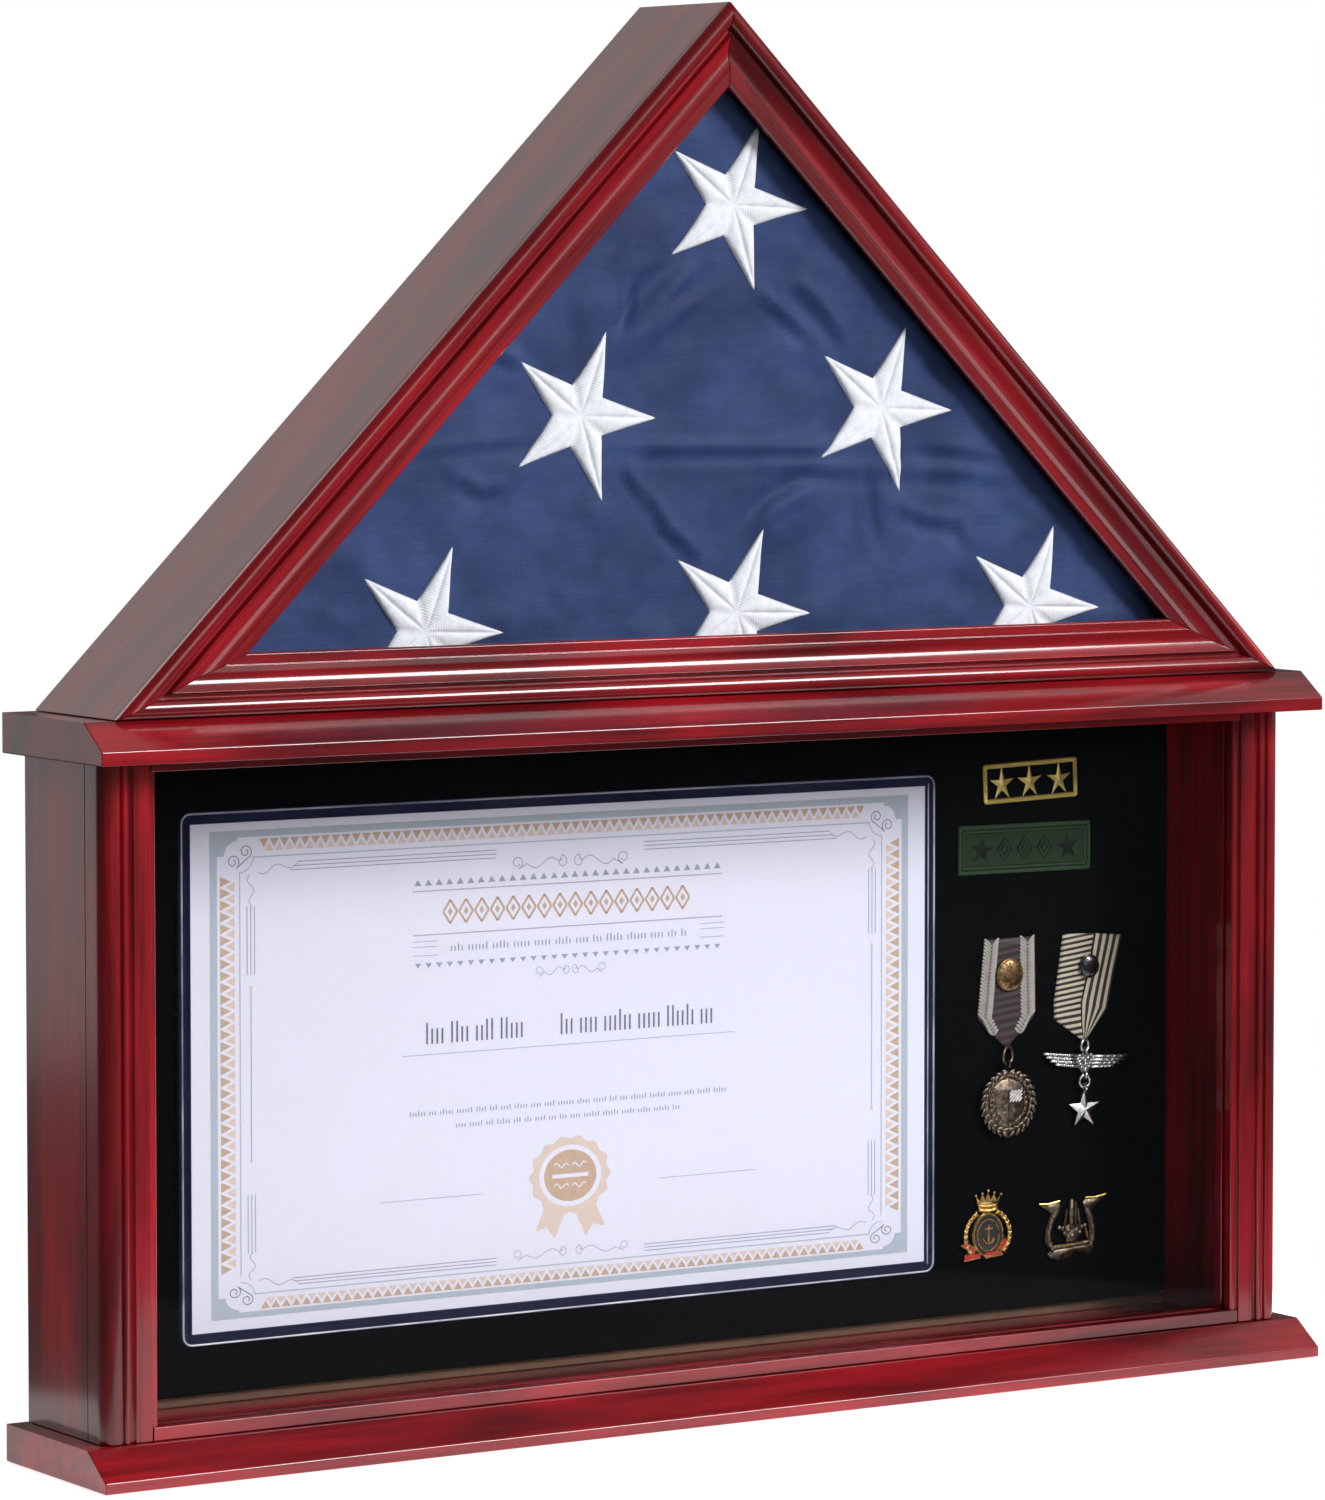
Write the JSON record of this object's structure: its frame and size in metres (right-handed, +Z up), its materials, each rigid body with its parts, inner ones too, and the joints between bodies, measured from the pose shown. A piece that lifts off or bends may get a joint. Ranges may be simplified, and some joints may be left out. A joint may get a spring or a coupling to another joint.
{
  "type": "folded flag display case",
  "caption": "Triangular glazed case for a folded flag, standing on a bevelled shadow box with a felt display board for a certificate, patches, medals and pins.",
  "frame": {"origin": "middle of the base board's underside, at the middle of the whole row's footprint", "axes": "+X runs along the base board to the viewer's right, -Y is the way the glass faces, +Z is up"},
  "size_m": [0.66, 0.095, 0.6471],
  "materials": {
    "cherry": "glossy lacquer over a red cherry stain",
    "glass": "clear and polished",
    "flag_cloth": "navy woven cloth with raised white embroidered stars",
    "felt": "matt black felt over board",
    "hardboard": "brown pressed fibre",
    "zinc": "zinc plated",
    "clear_plastic": "clear rigid sheet",
    "paper": "matt, printed border and seal",
    "gold_cloth": "gold embroidery",
    "green_cloth": "green twill with embroidered edge",
    "plum_ribbon": "ribbed ribbon with silver edges",
    "striped_ribbon": "striped ribbed ribbon",
    "brass": "polished",
    "bronze": "antiqued bronze",
    "silver": "antiqued silver"
  },
  "bodies": {
    "case": {"base_board": "cherry", "top_board": "cherry", "side_panel_left": "cherry", "side_panel_right": "cherry", "stile_left": "cherry", "stile_right": "cherry", "bottom_rail": "cherry", "top_rail": "cherry", "glass_stop_left": "cherry", "glass_stop_right": "cherry", "glass_stop_bottom": "cherry", "glass_stop_top": "cherry", "flag_case_bottom_board": "cherry", "flag_case_left_panel": "cherry", "flag_case_right_panel": "cherry", "flag_frame_bottom": "cherry", "flag_frame_left": "cherry", "flag_frame_right": "cherry", "cabinet_glass": "glass", "flag_glass": "glass", "folded_flag": "flag_cloth", "case_screw_left": "zinc", "case_screw_right": "zinc", "flag_button_screw_bottom": "zinc", "flag_button_screw_left": "zinc", "flag_button_screw_right": "zinc", "cabinet_button_screw_left_lower": "zinc", "cabinet_button_screw_left_upper": "zinc", "cabinet_button_screw_right_lower": "zinc", "cabinet_button_screw_right_upper": "zinc"},
    "flag_back": {"flag_back_panel": "hardboard"},
    "cabinet_back": {"cabinet_back_panel": "hardboard", "display_board": "felt", "certificate_sleeve": "clear_plastic", "certificate_paper": "paper", "gold_patch": "gold_cloth", "green_patch": "green_cloth", "round_medal_ribbon": "plum_ribbon", "round_medal_stud": "brass", "winged_medal_ribbon": "striped_ribbon", "winged_medal_stud": "silver", "coronet_pin": "brass", "lyre_pin": "bronze"},
    "round_medal_drop": {"round_medal_ring": "bronze", "round_medal_medallion": "bronze"},
    "winged_medal_drop": {"winged_medal_ring": "silver", "winged_medal_wings": "silver"},
    "star_drop": {"winged_medal_lower_ring": "silver", "winged_medal_star": "silver"},
    "flag_turn_button_bottom": {"flag_turn_button_bottom": "zinc"},
    "flag_turn_button_left": {"flag_turn_button_left": "zinc"},
    "flag_turn_button_right": {"flag_turn_button_right": "zinc"},
    "cabinet_turn_button_left_lower": {"cabinet_turn_button_left_lower": "zinc"},
    "cabinet_turn_button_left_upper": {"cabinet_turn_button_left_upper": "zinc"},
    "cabinet_turn_button_right_lower": {"cabinet_turn_button_right_lower": "zinc"},
    "cabinet_turn_button_right_upper": {"cabinet_turn_button_right_upper": "zinc"}
  },
  "joints": [
    {"name": "flag_back_slide", "type": "slide", "parent": "case", "child": "flag_back", "axis": [0, 1, 0], "range_m": [0, 0.12]},
    {"name": "cabinet_back_slide", "type": "slide", "parent": "case", "child": "cabinet_back", "axis": [0, 1, 0], "range_m": [0, 0.12]},
    {"name": "flag_turn_button_bottom_turn", "type": "hinge", "parent": "case", "child": "flag_turn_button_bottom", "pos_m": [0, 0.04585, 0.3358], "axis": [0, 1, 0], "range_deg": [0, 180]},
    {"name": "flag_turn_button_left_turn", "type": "hinge", "parent": "case", "child": "flag_turn_button_left", "pos_m": [-0.15502, 0.04585, 0.48733], "axis": [0, -1, 0], "range_deg": [0, 180]},
    {"name": "flag_turn_button_right_turn", "type": "hinge", "parent": "case", "child": "flag_turn_button_right", "pos_m": [0.15502, 0.04585, 0.48733], "axis": [0, 1, 0], "range_deg": [0, 180]},
    {"name": "cabinet_turn_button_left_lower_turn", "type": "hinge", "parent": "case", "child": "cabinet_turn_button_left_lower", "pos_m": [-0.314, 0.04585, 0.095], "axis": [0, -1, 0], "range_deg": [0, 180]},
    {"name": "cabinet_turn_button_left_upper_turn", "type": "hinge", "parent": "case", "child": "cabinet_turn_button_left_upper", "pos_m": [-0.314, 0.04585, 0.235], "axis": [0, -1, 0], "range_deg": [0, 180]},
    {"name": "cabinet_turn_button_right_lower_turn", "type": "hinge", "parent": "case", "child": "cabinet_turn_button_right_lower", "pos_m": [0.314, 0.04585, 0.095], "axis": [0, 1, 0], "range_deg": [0, 180]},
    {"name": "cabinet_turn_button_right_upper_turn", "type": "hinge", "parent": "case", "child": "cabinet_turn_button_right_upper", "pos_m": [0.314, 0.04585, 0.235], "axis": [0, 1, 0], "range_deg": [0, 180]},
    {"name": "round_medal_swing", "type": "hinge", "parent": "cabinet_back", "child": "round_medal_drop", "pos_m": [0.204, 0.0359, 0.1504], "axis": [0, 1, 0], "range_deg": [-20, 20]},
    {"name": "winged_medal_swing", "type": "hinge", "parent": "cabinet_back", "child": "winged_medal_drop", "pos_m": [0.25, 0.0359, 0.1513], "axis": [0, 1, 0], "range_deg": [-20, 20]},
    {"name": "winged_medal_star_swing", "type": "hinge", "parent": "winged_medal_drop", "child": "star_drop", "pos_m": [0.25, 0.0359, 0.1337], "axis": [0, 1, 0], "range_deg": [-25, 25]}
  ]
}
